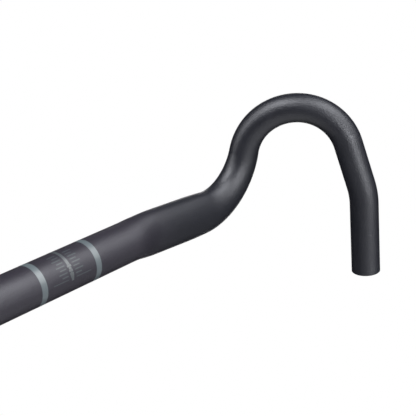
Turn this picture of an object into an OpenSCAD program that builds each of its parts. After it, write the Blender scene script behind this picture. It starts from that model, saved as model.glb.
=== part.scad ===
// Flared drop handlebar: one butted tube, bent and flattened, open at both drop ends.
// Frame: origin at the centre of the stem clamp, +X along the clamp to the rider's right,
// +Y forward, +Z up. Lengths in mm, angles in degrees. The drawing is the riding position.
// One half is a path of straights and arcs, drawn once for each side. The round zones are true
// cylinders and bends; a swept skin makes the flattened top and the corner between them.

/* [Clamp zone] */
// diameter of the round zone that the stem clamps
clamp_d = 31.8; // [30:0.1:33]
// length of the round zone that stays a true cylinder
clamp_length = 136; // [110:2:150]
// wall of the clamp zone
clamp_wall = 2.2; // [1.6:0.1:3]

/* [Top] */
// straight between the round zone and the back sweep
sweep_lead = 8; // [2:1:30]
// backward sweep of the top
sweep_angle = 3.5; // [2:0.5:8]
// radius of the back sweep bend
sweep_radius = 80; // [60:5:120]
// straight flattened length between the sweep bend and the corner
top_straight = 81; // [60:0.5:100]
// fore-and-aft width of the flattened top
top_width = 37; // [30:0.5:40]
// thickness of the flattened top
top_thickness = 25.5; // [21:0.5:28]
// length over which the round zone turns into the flattened top
flatten_length = 32; // [16:1:44]

/* [Corner and ramp] */
// radius of the corner bend from the top to the ramp
corner_radius = 46; // [40:1:56]
// fall of the ramp below the horizontal where the hook begins
ramp_angle = 6; // [0:0.5:12]
// outward turn of the ramp from straight ahead
toe_out = 2.5; // [0:0.5:8]
// distance before the corner at which the flattened section starts to narrow
narrow_lead = 24; // [8:1:34]
// distance after the corner at which the tube is fully round again
narrow_tail = 23; // [8:1:30]

/* [Drops] */
// diameter of the round tube in the hooks and drops
grip_d = 23.8; // [22:0.1:25]
// wall of the hooks and drops
grip_wall = 1.6; // [1.3:0.1:2.4]
// outward lean of the drops, seen from the front
flare_angle = 28.5; // [12:0.5:34]
// radius of the upper part of the hook
hook_radius_upper = 46.5; // [40:0.5:56]
// turn of the upper part of the hook
hook_turn_upper = 82.5; // [70:0.5:88]
// radius of the lower part of the hook
hook_radius_lower = 42; // [36:0.5:50]
// turn of the lower part of the hook
hook_turn_lower = 70; // [62:0.5:80]
// straight between the hook and the kink
grip_straight = 36; // [26:1:46]
// kink that brings the drop nearly level
kink_angle = 15; // [8:0.5:20]
// radius of the kink
kink_radius = 66; // [45:1:90]
// straight length of the drop end
end_straight = 60; // [40:1:80]
// bevel on the outer edge of each drop end
end_bevel = 0.6; // [0.2:0.1:1]

/* [Surface quality] */
// turn between two rings of the swept skin in a bend
ring_turn = 5; // [5:1:10]
// sides of the skin's bore; its outside has twice as many
bore_sides = 20; // [12:2:20]

/* [Hidden] */
slip = 0.02;             // how far an inner piece stays inside the wall that it laps into
overlap = 2;             // length of the lap between the skin and the clamp tube
lap_turn = 1.2;          // turn by which a bend laps into its neighbour
lead_margin = 1;         // how far ahead of the narrowing the last plain ring stands
taper_step = 5;          // spacing of rings where the section changes on a straight
round_sides = 96;
cut = 1;                 // how far a bore is cut past a face
half_turn = 180;
clamp_r = clamp_d / 2;
grip_r = grip_d / 2;
clamp_half = clamp_length / 2;
flat_start = clamp_half + flatten_length;
outer_sides = 2 * bore_sides;
bore_growth = 1 / cos(half_turn / bore_sides);   // keeps the bore's flats clear of its circle

function unit(v) = v / norm(v);
function turned(v, k, a) = v * cos(a) + cross(k, v) * sin(a) + k * (k * v) * (1 - cos(a));
function arc_length(r, a) = r * a * PI / half_turn;
function arc_turn(r, l) = l / r * half_turn / PI;
function eased(t) = let (u = min(1, max(0, t))) u * u * (3 - 2 * u);
function mixed(a, b, t) = a + (b - a) * t;

// Directions of the right half: the top after the sweep, the plane of the hook, the ramp.
top_dir = [cos(sweep_angle), -sin(sweep_angle), 0];
ahead_dir = [sin(toe_out), cos(toe_out), 0];
lean_dir = [sin(flare_angle), 0, -cos(flare_angle)];
down_dir = unit(lean_dir - ahead_dir * (lean_dir * ahead_dir));
ramp_dir = ahead_dir * cos(ramp_angle) + down_dir * sin(ramp_angle);
hook_axis = cross(ahead_dir, down_dir);
corner_cross = cross(top_dir, ramp_dir);
corner_axis = unit(corner_cross);
corner_turn = atan2(norm(corner_cross), top_dir * ramp_dir);
sweep_axis = [0, 0, -1];
no_axis = [0, 0, 1];

// Path of the right half from the end of the clamp tube: [length or radius, turn, axis].
lead_turn = arc_turn(hook_radius_upper, narrow_tail);
path = [
    [sweep_lead, 0, no_axis],
    [sweep_radius, sweep_angle, sweep_axis],
    [top_straight, 0, no_axis],
    [corner_radius, corner_turn, corner_axis],
    [hook_radius_upper, lead_turn, hook_axis],
    [hook_radius_upper, hook_turn_upper - lead_turn, hook_axis],
    [hook_radius_lower, hook_turn_lower, hook_axis],
    [grip_straight, 0, no_axis],
    [kink_radius, kink_angle, hook_axis],
    [end_straight, 0, no_axis]
];
sweep_at = 1;
top_at = 2;
corner_at = 3;
lead_at = 4;
upper_at = 5;
lower_at = 6;
grip_at = 7;
kink_at = 8;
end_at = 9;

// A state is [place, heading, side direction, distance along the path].
function moved(st, sg, t) =
    sg[1] == 0
    ? [st[0] + st[1] * sg[0] * t, st[1], st[2], st[3] + sg[0] * t]
    : let (hub = st[0] + cross(sg[2], st[1]) * sg[0], a = sg[1] * t)
      [hub + turned(st[0] - hub, sg[2], a), turned(st[1], sg[2], a),
       turned(st[2], sg[2], a), st[3] + arc_length(sg[0], a)];
function starts(i, st) =
    i == len(path) ? [st] : concat([st], starts(i + 1, moved(st, path[i], 1)));
states = starts(0, [[clamp_half, 0, 0], [1, 0, 0], [0, -1, 0], clamp_half]);
corner_s = states[corner_at][3];
ramp_s = states[lead_at][3];

// Rings of the skin. Each list holds the parts of one segment at which a ring stands.
function even(n) = [for (j = [1 : n]) j / n];
function steps(l) = ceil(l / taper_step);
function bends(a) = ceil(a / ring_turn);
corner_lead = narrow_lead + lead_margin;
flat_tail = min(max(overlap, flat_start - states[top_at][3]), top_straight - corner_lead - overlap);
top_parts = concat(
    [for (t = even(steps(flat_tail))) t * flat_tail / top_straight],
    [for (t = concat([0], even(steps(corner_lead)))) 1 - corner_lead * (1 - t) / top_straight]
);
skin_parts = [
    even(steps(path[0][0])), even(2), top_parts, even(bends(corner_turn)),
    even(bends(lead_turn)), [lap_turn / path[upper_at][1]]
];
stations = concat(
    [moved(states[0], path[0], -overlap / path[0][0]), states[0]],
    [for (i = [0 : upper_at], t = skin_parts[i]) moved(states[i], path[i], t)]
);

// Section along the path: half width or thickness, and wall.
function flattening(s) = eased((s - clamp_half) / (flat_start - clamp_half));
function narrowing(s) =
    eased((s - corner_s + narrow_lead) / (ramp_s - corner_s + narrow_lead + narrow_tail));
function half_size(s, flat) = mixed(mixed(clamp_r, flat, flattening(s)), grip_r, narrowing(s));
function wall_at(s) = mixed(clamp_wall, grip_wall, flattening(s));
function ring(st, a, b, sides) = [
    for (i = [0 : sides - 1]) let (phi = 2 * half_turn * i / sides)
        st[0] + st[2] * a * cos(phi) + cross(st[1], st[2]) * b * sin(phi)
];
function outer_ring(st) = ring(st, half_size(st[3], top_width / 2) - slip,
    half_size(st[3], top_thickness / 2) - slip, outer_sides);
function bore_ring(st) = let (w = wall_at(st[3]) - slip)
    ring(st, (half_size(st[3], top_width / 2) - w) * bore_growth,
        (half_size(st[3], top_thickness / 2) - w) * bore_growth, bore_sides);
rings = len(stations);
bore_base = rings * outer_sides;
skin_points = concat([for (st = stations) each outer_ring(st)], [for (st = stations) each bore_ring(st)]);
function outer_at(k, i) = k * outer_sides + i % outer_sides;
function bore_at(k, i) = bore_base + k * bore_sides + i % bore_sides;
outer_faces = [
    for (k = [0 : rings - 2], i = [0 : outer_sides - 1])
        each [[outer_at(k, i), outer_at(k + 1, i), outer_at(k + 1, i + 1)],
              [outer_at(k, i), outer_at(k + 1, i + 1), outer_at(k, i + 1)]]
];
bore_faces = [
    for (k = [0 : rings - 2], i = [0 : bore_sides - 1])
        each [[bore_at(k, i), bore_at(k + 1, i + 1), bore_at(k + 1, i)],
              [bore_at(k, i), bore_at(k, i + 1), bore_at(k + 1, i + 1)]]
];
function end_faces(k) = [
    for (i = [0 : bore_sides - 1])
        each [[outer_at(k, 2 * i), outer_at(k, 2 * i + 1), bore_at(k, i)],
              [outer_at(k, 2 * i + 1), bore_at(k, i + 1), bore_at(k, i)],
              [outer_at(k, 2 * i + 1), outer_at(k, 2 * i + 2), bore_at(k, i + 1)]]
];
function flipped(faces) = [for (f = faces) [f[2], f[1], f[0]]];
skin_faces = concat(outer_faces, bore_faces, end_faces(0), flipped(end_faces(rings - 1)));

// A vector of the right half on the given side: 1 is right, -1 is left.
function sided(v, side) = [side * v[0], v[1], v[2]];

// Moves its children so that local x, y and z lie along x, y and their cross product at p.
module set_at(p, x, y) {
    z = cross(x, y);
    multmatrix([[x[0], y[0], z[0], p[0]], [x[1], y[1], z[1], p[1]], [x[2], y[2], z[2], p[2]]])
        children();
}

// Round zone for the stem: a true tube along X.
module clamp_tube() {
    rotate([0, 90, 0])
        difference() {
            cylinder(r = clamp_r, h = clamp_length, center = true, $fn = round_sides);
            cylinder(r = clamp_r - clamp_wall, h = clamp_length + cut, center = true, $fn = round_sides);
        }
}

// Flattened top and corner, whose section changes all along.
module swept_top(side) {
    polyhedron(
        points = [for (p = skin_points) sided(p, side)],
        faces = side > 0 ? skin_faces : flipped(skin_faces),
        convexity = 10
    );
}

// Round bend number i of the path, thinned by inset on both faces and longer by lap at each end.
module bend(i, side, inset, lap) {
    st = states[i];
    r = path[i][0];
    out = cross(st[1], path[i][2]);
    set_at(sided(st[0] - out * r, side), sided(out, side), sided(st[1], side))
        rotate([0, 0, -lap])
            rotate_extrude(angle = path[i][1] + 2 * lap, $fn = 2 * round_sides)
                translate([r, 0])
                    difference() {
                        circle(r = grip_r - inset, $fn = round_sides);
                        circle(r = grip_r - grip_wall + inset, $fn = round_sides);
                    }
}

// Straight round tube number i of the path, with a bevel on its far outer edge.
module straight(i, side, bevel) {
    st = states[i];
    l = path[i][0];
    set_at(sided(st[0], side), sided(st[2], side), cross(sided(st[1], side), sided(st[2], side)))
        rotate_extrude($fn = round_sides)
            polygon([
                [grip_r - grip_wall, 0], [grip_r, 0], [grip_r, l - bevel],
                [grip_r - bevel, l], [grip_r - grip_wall, l]
            ]);
}

// Hook and drop of one side. The lower bend and the kink lap into the walls of their neighbours.
module drop(side) {
    bend(upper_at, side, 0, 0);
    bend(lower_at, side, slip, lap_turn);
    straight(grip_at, side, 0);
    bend(kink_at, side, slip, lap_turn);
    straight(end_at, side, end_bevel);
}

module handlebar() {
    color("#2b2c30")
        union() {
            clamp_tube();
            for (side = [-1, 1]) {
                swept_top(side);
                drop(side);
            }
        }
}

handlebar();
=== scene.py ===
import math

import bpy
from mathutils import Matrix, Vector


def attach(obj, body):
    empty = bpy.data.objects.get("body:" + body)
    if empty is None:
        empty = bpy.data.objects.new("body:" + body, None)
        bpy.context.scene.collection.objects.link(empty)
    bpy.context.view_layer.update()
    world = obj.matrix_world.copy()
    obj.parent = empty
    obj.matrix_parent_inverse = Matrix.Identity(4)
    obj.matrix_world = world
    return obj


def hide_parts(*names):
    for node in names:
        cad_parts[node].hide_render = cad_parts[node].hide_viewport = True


# A flared drop handlebar: the tube, the marks printed on it, their materials, and the floor, the
# light and the camera round it. Shapes are worked out in mm and written in metres.
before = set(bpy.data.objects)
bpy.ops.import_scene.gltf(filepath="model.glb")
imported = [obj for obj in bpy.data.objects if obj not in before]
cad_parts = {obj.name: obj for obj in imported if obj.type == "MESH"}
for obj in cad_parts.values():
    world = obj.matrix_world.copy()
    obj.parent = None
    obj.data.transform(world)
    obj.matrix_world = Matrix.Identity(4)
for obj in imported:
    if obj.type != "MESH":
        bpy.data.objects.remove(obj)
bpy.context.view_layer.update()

rad = math.radians
UP = Vector((0, 0, 1))
MM_PER_M = 1000
FULL_TURN = 360
WHITE = (1, 1, 1, 1)

# Sizes of the bar in mm and degrees, named after those in the part's source.
CLAMP_R, CLAMP_HALF, CLAMP_WALL = 15.9, 68.0, 2.2
SWEEP_LEAD, SWEEP_RADIUS, SWEEP_ANGLE = 8.0, 80.0, 3.5
TOP_STRAIGHT, TOP_HALF_WIDTH, TOP_HALF_THICKNESS = 81.0, 18.5, 12.75
FLATTEN_LENGTH = 32.0
CORNER_RADIUS, RAMP_ANGLE, TOE_OUT = 46.0, 6.0, 2.5
NARROW_LEAD, NARROW_TAIL = 24.0, 23.0
GRIP_R, GRIP_WALL, GRIP_STRAIGHT = 11.9, 1.6, 36.0
FLARE_ANGLE = 28.5
HOOK_RADIUS_UPPER, HOOK_TURN_UPPER = 46.5, 82.5
HOOK_RADIUS_LOWER, HOOK_TURN_LOWER = 42.0, 70.0
KINK_RADIUS, KINK_ANGLE = 66.0, 15.0
END_STRAIGHT, END_BEVEL = 60.0, 0.6

# Fineness of the mesh: sides of the tube, and the spacing of its rings in mm.
BAR_SIDES = 96
CLAMP_GAP, FLATTEN_GAP, TOP_GAP, BEND_GAP = 17.0, 1.0, 1.5, 1.2
GRIP_GAP, KINK_GAP, END_GAP = 8.0, 1.4, 10.0
BEVEL_MARGIN = 0.3  # one more ring this far before the bevel keeps the shading from bending early
TUBE_CREASE, PRINT_CREASE = 28, 30  # edges bent by more degrees than this stay sharp

# Directions along the rider's right half.
sweep, toe, flare, fall = rad(SWEEP_ANGLE), rad(TOE_OUT), rad(FLARE_ANGLE), rad(RAMP_ANGLE)
top = Vector((math.cos(sweep), -math.sin(sweep), 0))
ahead = Vector((math.sin(toe), math.cos(toe), 0))
lean = Vector((math.sin(flare), 0, -math.cos(flare)))
down = (lean - ahead * lean.dot(ahead)).normalized()
ramp = ahead * math.cos(fall) + down * math.sin(fall)
hook_axis = ahead.cross(down)
corner_axis = top.cross(ramp).normalized()
corner_turn = top.angle(ramp)

# The path from the middle of the clamp to the drop end. Each stretch has its length, or its radius
# where it bends, its turn, the axis that it turns about and the spacing of its rings.
PATH = [
    (CLAMP_HALF, 0, UP, CLAMP_GAP),
    (SWEEP_LEAD, 0, UP, FLATTEN_GAP),
    (SWEEP_RADIUS, sweep, -UP, FLATTEN_GAP),
    (TOP_STRAIGHT, 0, UP, TOP_GAP),
    (CORNER_RADIUS, corner_turn, corner_axis, BEND_GAP),
    (HOOK_RADIUS_UPPER, rad(HOOK_TURN_UPPER), hook_axis, BEND_GAP),
    (HOOK_RADIUS_LOWER, rad(HOOK_TURN_LOWER), hook_axis, BEND_GAP),
    (GRIP_STRAIGHT, 0, UP, GRIP_GAP),
    (KINK_RADIUS, rad(KINK_ANGLE), hook_axis, KINK_GAP),
    (END_STRAIGHT - END_BEVEL, 0, UP, END_GAP),
]
TOP_AT, CORNER_AT = 3, 4  # the rows of the straight top and of the corner


def turned(v, axis, angle):
    return Matrix.Rotation(angle, 3, axis) @ v


def stations():
    """The stations of the right half, each as its place, heading, side direction and distance
    along the path, and the distance at which each stretch ends."""
    place, heading, side, s = Vector((0, 0, 0)), Vector((1, 0, 0)), Vector((0, -1, 0)), 0.0
    out, ends = [(place, heading, side, s)], []
    for size, turn, axis, gap in PATH:
        length = size * turn if turn else size
        steps = max(1, math.ceil(length / gap))
        for j in range(1, steps + 1):
            at = s + length * j / steps
            if turn:
                hub = place + axis.cross(heading) * size
                angle = turn * j / steps
                out.append((hub + turned(place - hub, axis, angle),
                            turned(heading, axis, angle), turned(side, axis, angle), at))
            else:
                out.append((place + heading * length * j / steps, heading, side, at))
        place, heading, side, s = out[-1]
        ends.append(s)
    return out, ends


HALF, ENDS = stations()
NARROW_FROM, NARROW_TO = ENDS[TOP_AT] - NARROW_LEAD, ENDS[CORNER_AT] + NARROW_TAIL


def eased(t):
    t = min(1, max(0, t))
    return t * t * (3 - 2 * t)


def between(a, b, t):
    return a + (b - a) * t


def section(s):
    """Half width, half thickness and wall at the distance s along the path: round at the clamp,
    oval along the top, round and slimmer from the ramp on."""
    flat = eased((s - CLAMP_HALF) / FLATTEN_LENGTH)
    slim = eased((s - NARROW_FROM) / (NARROW_TO - NARROW_FROM))
    a = between(between(CLAMP_R, TOP_HALF_WIDTH, flat), GRIP_R, slim)
    b = between(between(CLAMP_R, TOP_HALF_THICKNESS, flat), GRIP_R, slim)
    return a, b, between(CLAMP_WALL, GRIP_WALL, flat)


def ring(station, half, bore=False, bevel=0.0):
    """One ring of points in metres, on the right half (1) or mirrored to the left half (-1)."""
    place, heading, side, s = station
    a, b, wall = section(s)
    shrink = wall if bore else bevel
    normal = heading.cross(side)
    points = []
    for i in range(BAR_SIDES):
        t = 2 * math.pi * i / BAR_SIDES
        q = place + side * ((a - shrink) * math.cos(t)) + normal * ((b - shrink) * math.sin(t))
        points.append((half * q.x / MM_PER_M, q.y / MM_PER_M, q.z / MM_PER_M))
    return points


def bridge(a, b, n):
    """The faces between two rings of n points that start at the vertices a and b."""
    return [(a + i, a + (i + 1) % n, b + (i + 1) % n, b + i) for i in range(n)]


def mesh_object(name, verts, faces, crease):
    mesh = bpy.data.meshes.new(name)
    mesh.from_pydata(verts, [], faces)
    mesh.update()
    mesh.shade_smooth()
    mesh.set_sharp_from_angle(angle=rad(crease))
    ob = bpy.data.objects.new(name, mesh)
    bpy.context.scene.collection.objects.link(ob)
    return ob


def bar_tube():
    """The whole bar as one closed shell: from the left drop end along the outside to the right
    one, and back through the bore."""
    place, heading, side, s = HALF[-1]
    tip = (place + heading * END_BEVEL, heading, side, s + END_BEVEL)
    margin = (place - heading * BEVEL_MARGIN, heading, side, s - BEVEL_MARGIN)
    outer = HALF[:-1] + [margin, HALF[-1]]
    inner = HALF[:-1:2]

    rings = [ring(tip, -1, bevel=END_BEVEL)]
    rings += [ring(st, -1) for st in reversed(outer[1:])]
    rings += [ring(st, 1) for st in outer]
    rings += [ring(tip, 1, bevel=END_BEVEL)]
    rings += [ring(st, 1, bore=True) for st in (tip, margin)]
    rings += [ring(st, 1, bore=True) for st in reversed(inner[1:])]
    rings += [ring(st, -1, bore=True) for st in inner]
    rings += [ring(st, -1, bore=True) for st in (margin, tip)]

    verts, faces = [v for r in rings for v in r], []
    for k in range(len(rings)):
        after = (k + 1) % len(rings)
        faces += bridge(k * BAR_SIDES, after * BAR_SIDES, BAR_SIDES)
    return mesh_object("bar_tube", verts, faces, TUBE_CREASE)


# Printed marks are thin closed skins round the clamp, sunk a little into the tube. A patch runs
# from x0 to x1 in mm and from angle t0 to t1 in degrees: 0 is straight ahead and 90 is up.
PRINT_LIFT, PRINT_SINK = 0.035, 0.03
PRINT_STEP = 2.5  # degrees between two columns of a patch


def printed(patches, name):
    low, high = CLAMP_R - PRINT_SINK, CLAMP_R + PRINT_LIFT
    verts, faces = [], []
    for x0, x1, t0, t1 in patches:
        closed = t1 - t0 == FULL_TURN
        steps = max(2, math.ceil((t1 - t0) / PRINT_STEP))
        columns = steps if closed else steps + 1
        outline = ((x0, low), (x0, high), (x1, high), (x1, low))
        n = len(outline)
        first, last = len(verts), len(verts) + n * steps
        for c in range(columns):
            t = rad(t0 + (t1 - t0) * c / steps)
            for x, r in outline:
                point = (x, r * math.cos(t), r * math.sin(t))
                verts.append([v / MM_PER_M for v in point])
        for c in range(steps):
            faces += bridge(first + n * c, first + n * ((c + 1) % columns), n)
        if not closed:
            faces.append(tuple(reversed(range(first, first + n))))
            faces.append(tuple(range(last, last + n)))
    return mesh_object(name, verts, faces, PRINT_CREASE)


# Materials. A noise has its scale, detail and roughness, a bump its strength and its distance in
# metres, and an ink its darker and lighter colour, its roughness and its index of refraction.
# The clamp's colours hold its purplish tint, and are also lighter as painted light: they stand in
# for the extra light that falls on the clamp.
CLAMP_TINT_AND_PAINTED_LIGHT_LOW, CLAMP_TINT_AND_PAINTED_LIGHT_HIGH = (0.034, 0.031, 0.044), (0.053, 0.048, 0.066)
BLACK_DARK, BLACK_LIGHT = (0.013, 0.014, 0.021), (0.023, 0.025, 0.036)
ROUGH_LOW, ROUGH_HIGH = 0.37, 0.41
PAINTED_LIGHT_FADE_FROM, PAINTED_LIGHT_FADE_TO = 0.060, 0.130  # metres from the middle, from the clamp's tinted grey, made lighter as painted light, to black
BLACK_IOR, BLACK_TINT = 1.63, (0.93, 0.945, 1.0, 1)
SPECULAR_LEVEL = 1.0
FINE_NOISE, GRAIN_NOISE = (2600.0, 3.0, 0.6), (900.0, 2.0, 0.6)
CLOUD_NOISE, INK_NOISE = (120.0, 2.0, 0.5), (1500.0, 3.0, 0.6)
SPECK_RANGE, NOISE_RANGE = (0.35, 0.65), (0.3, 0.7)
GRAIN_BUMP, FINE_BUMP, INK_BUMP = (1.0, 0.00025), (0.25, 0.00012), (0.2, 0.0001)
RING_INK = ((0.168, 0.212, 0.236), (0.212, 0.260, 0.288), 0.32, 2.0)
CENTRE_INK = ((0.092, 0.112, 0.126), (0.146, 0.168, 0.184), 0.32, 2.0)
TICK_INK = ((0.068, 0.086, 0.100), (0.104, 0.126, 0.142), 0.38, 1.7)


def new_material(name):
    material = bpy.data.materials.new(name)
    material.use_nodes = True
    nt = material.node_tree
    return material, nt, nt.nodes["Principled BSDF"]


def object_place(nt):
    return nt.nodes.new("ShaderNodeTexCoord").outputs["Object"]


def noise(nt, coord, scale, detail, rough):
    node = nt.nodes.new("ShaderNodeTexNoise")
    node.inputs["Scale"].default_value = scale
    node.inputs["Detail"].default_value = detail
    node.inputs["Roughness"].default_value = rough
    nt.links.new(coord, node.inputs["Vector"])
    return node.outputs["Fac"]


def mapped(nt, value, span, lo=0.0, hi=1.0, smooth=False):
    """The value mapped from a span to the range from lo to hi, and clamped to it."""
    node = nt.nodes.new("ShaderNodeMapRange")
    node.inputs["From Min"].default_value, node.inputs["From Max"].default_value = span
    node.inputs["To Min"].default_value, node.inputs["To Max"].default_value = lo, hi
    if smooth:
        node.interpolation_type = "SMOOTHSTEP"
    nt.links.new(value, node.inputs["Value"])
    return node.outputs["Result"]


def blended(nt, fac, a, b):
    """A mix of two colours, each a tuple or another node's output."""
    mix = nt.nodes.new("ShaderNodeMix")
    mix.data_type = "RGBA"
    for socket, colour in (("A", a), ("B", b)):
        if isinstance(colour, tuple):
            mix.inputs[socket].default_value = (*colour, 1)
        else:
            nt.links.new(colour, mix.inputs[socket])
    nt.links.new(fac, mix.inputs["Factor"])
    return mix.outputs["Result"]


def bumped(nt, height, strength, distance, under=None):
    """The normal with a bump on it, on top of another bump where one is given."""
    bump = nt.nodes.new("ShaderNodeBump")
    bump.inputs["Strength"].default_value = strength
    bump.inputs["Distance"].default_value = distance
    nt.links.new(height, bump.inputs["Height"])
    if under is not None:
        nt.links.new(under, bump.inputs["Normal"])
    return bump.outputs["Normal"]


def distance_from_middle(nt, coord):
    split = nt.nodes.new("ShaderNodeSeparateXYZ")
    nt.links.new(coord, split.inputs["Vector"])
    away = nt.nodes.new("ShaderNodeMath")
    away.operation = "ABSOLUTE"
    nt.links.new(split.outputs["X"], away.inputs[0])
    return away.outputs["Value"]


def blasted_black():
    """Black with a fine grain. Round the clamp it has a purplish tint and is also lighter as
    painted light, standing in for the extra light on the clamp; along the top it is plain black.
    """
    material, nt, shader = new_material("blasted_black")
    coord = object_place(nt)
    fine = noise(nt, coord, *FINE_NOISE)
    grain = noise(nt, coord, *GRAIN_NOISE)
    cloud = noise(nt, coord, *CLOUD_NOISE)

    speck = mapped(nt, fine, SPECK_RANGE)
    painted_light_fade = mapped(nt, distance_from_middle(nt, coord), (PAINTED_LIGHT_FADE_FROM, PAINTED_LIGHT_FADE_TO), smooth=True)
    # Painted light: round the clamp the colour is lighter, for the extra light there, besides its
    # purplish tint.
    clamp_tint_and_painted_light = blended(nt, speck, CLAMP_TINT_AND_PAINTED_LIGHT_LOW, CLAMP_TINT_AND_PAINTED_LIGHT_HIGH)
    black = blended(nt, speck, BLACK_DARK, BLACK_LIGHT)
    nt.links.new(blended(nt, painted_light_fade, clamp_tint_and_painted_light, black), shader.inputs["Base Color"])

    rough = mapped(nt, cloud, NOISE_RANGE, ROUGH_LOW, ROUGH_HIGH)
    nt.links.new(rough, shader.inputs["Roughness"])
    shader.inputs["Specular IOR Level"].default_value = SPECULAR_LEVEL
    shader.inputs["IOR"].default_value = BLACK_IOR
    shader.inputs["Specular Tint"].default_value = BLACK_TINT

    coarse = bumped(nt, grain, *GRAIN_BUMP)
    nt.links.new(bumped(nt, fine, *FINE_BUMP, under=coarse), shader.inputs["Normal"])
    return material


def print_ink(name, dark, light, rough, ior):
    material, nt, shader = new_material(name)
    fine = noise(nt, object_place(nt), *INK_NOISE)
    colour = blended(nt, mapped(nt, fine, NOISE_RANGE), dark, light)
    nt.links.new(colour, shader.inputs["Base Color"])
    shader.inputs["Roughness"].default_value = rough
    shader.inputs["IOR"].default_value = ior
    shader.inputs["Specular IOR Level"].default_value = SPECULAR_LEVEL
    nt.links.new(bumped(nt, fine, *INK_BUMP), shader.inputs["Normal"])
    return material


# The tube.
bar = bar_tube()
bar.data.materials.append(blasted_black())
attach(bar, "root")
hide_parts("handlebar")

# Two rings, one to each side of the stem clamp.
RING_X, RING_WIDTH = 26.5, 5.2
ring_patches = [(x - RING_WIDTH / 2, x + RING_WIDTH / 2, 0, FULL_TURN)
                for x in (-RING_X, RING_X)]
rings = printed(ring_patches, "clamp_rings")
rings.data.materials.append(print_ink("ring_ink", *RING_INK))

# The centre line: a long band, then wide and narrow dashes in turn. Each has its half width, the
# angle that it starts from and the angle that it ends at. A wedge of short steps ends the line.
CENTRE_DASHES = [
    (1.3, -47, 91),
    (1.9, -53.5, -47.5),
    (1.2, -60, -54),
    (1.7, -66.5, -60.5),
    (0.9, -69, -67),
]
WEDGE_STEPS, WEDGE_HALF, WEDGE_TAPER = 9, 1.9, 0.11
WEDGE_FROM, WEDGE_PITCH, WEDGE_STEP = -71.7, 2.3, 2.5
starts = [WEDGE_FROM - WEDGE_PITCH * i for i in range(WEDGE_STEPS)]
wedge = [(WEDGE_HALF - WEDGE_TAPER * i, t, t + WEDGE_STEP) for i, t in enumerate(starts)]
centre_patches = [(-half, half, t0, t1) for half, t0, t1 in CENTRE_DASHES + wedge]
centre = printed(centre_patches, "centre_line")
centre.data.materials.append(print_ink("centre_ink", *CENTRE_INK))

# Angle ticks on both sides of the centre line, short and long in turn. The first one, at the
# bottom, is the longest and the thinnest.
TICK_COUNT, TICK_FIRST, TICK_PITCH = 9, -84.3, 9.75
TICK_FROM, TICK_SHORT, TICK_LONG, TICK_LONGEST = 3.6, 9.4, 11.6, 18.2
TICK_HALF, TICK_HALF_THIN = 1.65, 1.1
tick_patches = []
for k in range(TICK_COUNT):
    angle = TICK_FIRST + TICK_PITCH * k
    reach, half = (TICK_SHORT if k % 2 else TICK_LONG), TICK_HALF
    if k == 0:
        reach, half = TICK_LONGEST, TICK_HALF_THIN
    for x0, x1 in ((-reach, -TICK_FROM), (TICK_FROM, reach)):
        tick_patches.append((x0, x1, angle - half, angle + half))
tick_marks = printed(tick_patches, "angle_ticks")
tick_marks.data.materials.append(print_ink("tick_ink", *TICK_INK))

for ob in (rings, centre, tick_marks):
    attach(ob, "root")


def seen_by_camera(nt, seen, unseen, target):
    """Camera rays meet one shader and all other rays the other."""
    path = nt.nodes.new("ShaderNodeLightPath")
    mix = nt.nodes.new("ShaderNodeMixShader")
    nt.links.new(path.outputs["Is Camera Ray"], mix.inputs["Fac"])
    nt.links.new(unseen, mix.inputs[1])
    nt.links.new(seen, mix.inputs[2])
    nt.links.new(mix.outputs["Shader"], target)


# The floor lies far below, under the photograph's camera, which looks up at the bar. For a camera
# it is paler than the light makes it.
FLOOR_Z, FLOOR_SIZE = -3.2, 60
FLOOR_COLOUR, FLOOR_ROUGH, FLOOR_GLOW = (0.82, 0.82, 0.82, 1), 0.9, 0.72
bpy.ops.mesh.primitive_plane_add(size=FLOOR_SIZE, location=(0, 0, FLOOR_Z))
floor = bpy.context.object
floor.name = "floor"
floor_paper, nt, paper = new_material("floor_paper")
paper.inputs["Base Color"].default_value = FLOOR_COLOUR
paper.inputs["Roughness"].default_value = FLOOR_ROUGH
glow = nt.nodes.new("ShaderNodeEmission")
glow.inputs["Strength"].default_value = FLOOR_GLOW
paler = nt.nodes.new("ShaderNodeAddShader")
nt.links.new(paper.outputs["BSDF"], paler.inputs[0])
nt.links.new(glow.outputs["Emission"], paler.inputs[1])
seen_by_camera(nt, paler.outputs["Shader"], paper.outputs["BSDF"],
               nt.nodes["Material Output"].inputs["Surface"])
floor.data.materials.append(floor_paper)

# The world is white for a camera and nearly dark for the bar, which the soft boxes light.
WORLD_SEEN, WORLD_LIGHT = 1.0, 0.01
world = bpy.data.worlds.new("studio")
bpy.context.scene.world = world
world.use_nodes = True
nt = world.node_tree
nt.nodes.clear()


def background(strength):
    node = nt.nodes.new("ShaderNodeBackground")
    node.inputs["Color"].default_value = WHITE
    node.inputs["Strength"].default_value = strength
    return node.outputs["Background"]


seen_by_camera(nt, background(WORLD_SEEN), background(WORLD_LIGHT),
               nt.nodes.new("ShaderNodeOutputWorld").inputs["Surface"])

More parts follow.
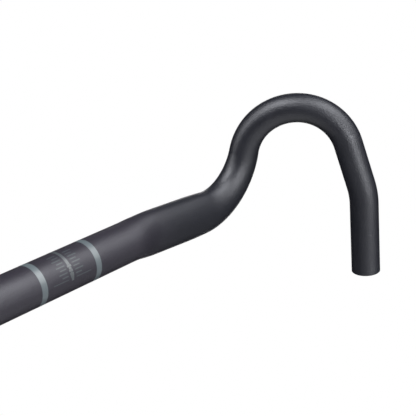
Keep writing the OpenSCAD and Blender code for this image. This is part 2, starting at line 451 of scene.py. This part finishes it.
# The camera stands where the photograph's did, in metres. Its turn and rise, in degrees, are those
# of the direction from the bar to it, and its roll has the bar's front at the top of the picture.
CAM_PLACE = Vector((0.51143, 0.36790, -0.55317))
CAM_TURN, CAM_RISE, CAM_ROLL = 28.578, -35.5109, -71.5673
CAM_SENSOR, CAM_LENS, CAM_CLIP = 36, 100.6265, 0.01
flat_out = Vector((math.cos(rad(CAM_TURN)), math.sin(rad(CAM_TURN)), 0))
cam_back = flat_out * math.cos(rad(CAM_RISE)) + UP * math.sin(rad(CAM_RISE))
cam_right = turned(UP.cross(flat_out), cam_back, rad(CAM_ROLL))
cam_up = cam_back.cross(cam_right)

# The soft boxes stand round LIT, a point near the middle of the picture's half of the bar. Each has
# its direction, as right, up and back towards the camera in the picture, its width and height in
# metres and its power in watts.
LIT, BOX_DISTANCE = Vector((-0.15, 0.01, -0.05)), 2.5
NEARLY_UP = 0.3  # a box nearer than this to straight up or down lies along the picture's right
SOFT_BOXES = {
    "top_box": (-0.54, 0.67, 0.50, 1.75, 1.9, 35),
    "shoulder_box": (0.41, 0.69, 0.59, 1.95, 2.1, 31),
    "right_box": (0.67, 0.72, 0.18, 0.9, 3.15, 13),
    "front_box": (0.64, -0.10, 0.76, 2.3, 0.53, 19.5),
    "left_box": (-0.96, 0.19, 0.18, 1.5, 1.4, 9.5),
    "low_box": (0.19, -0.98, 0.09, 4.9, 3.8, 22),
    "back_box": (0.10, 0.13, -0.99, 1.1, 1.9, 12.5),
}


def placed(ob, right, up, back, place):
    bpy.context.scene.collection.objects.link(ob)
    ob.matrix_world = Matrix.Translation(place) @ Matrix((right, up, back)).transposed().to_4x4()


def soft_box(name, right, up, back, width, height, power):
    away = (cam_right * right + cam_up * up + cam_back * back).normalized()
    level = cam_up.cross(away)
    if level.length < NEARLY_UP:
        level = cam_right - away * cam_right.dot(away)
    level.normalize()
    data = bpy.data.lights.new(name, "AREA")
    data.shape = "RECTANGLE"
    data.size, data.size_y = width, height
    data.energy = power
    ob = bpy.data.objects.new(name, data)
    ob.visible_camera = False
    placed(ob, level, away.cross(level), away, LIT + away * BOX_DISTANCE)


for name, values in SOFT_BOXES.items():
    soft_box(name, *values)

cam_data = bpy.data.cameras.new("camera")
cam_data.sensor_width = CAM_SENSOR
cam_data.lens = CAM_LENS
cam_data.clip_start = CAM_CLIP
cam = bpy.data.objects.new("camera", cam_data)
placed(cam, cam_right, cam_up, cam_back, CAM_PLACE)
bpy.context.scene.camera = cam
bpy.context.scene.view_settings.view_transform = "Standard"
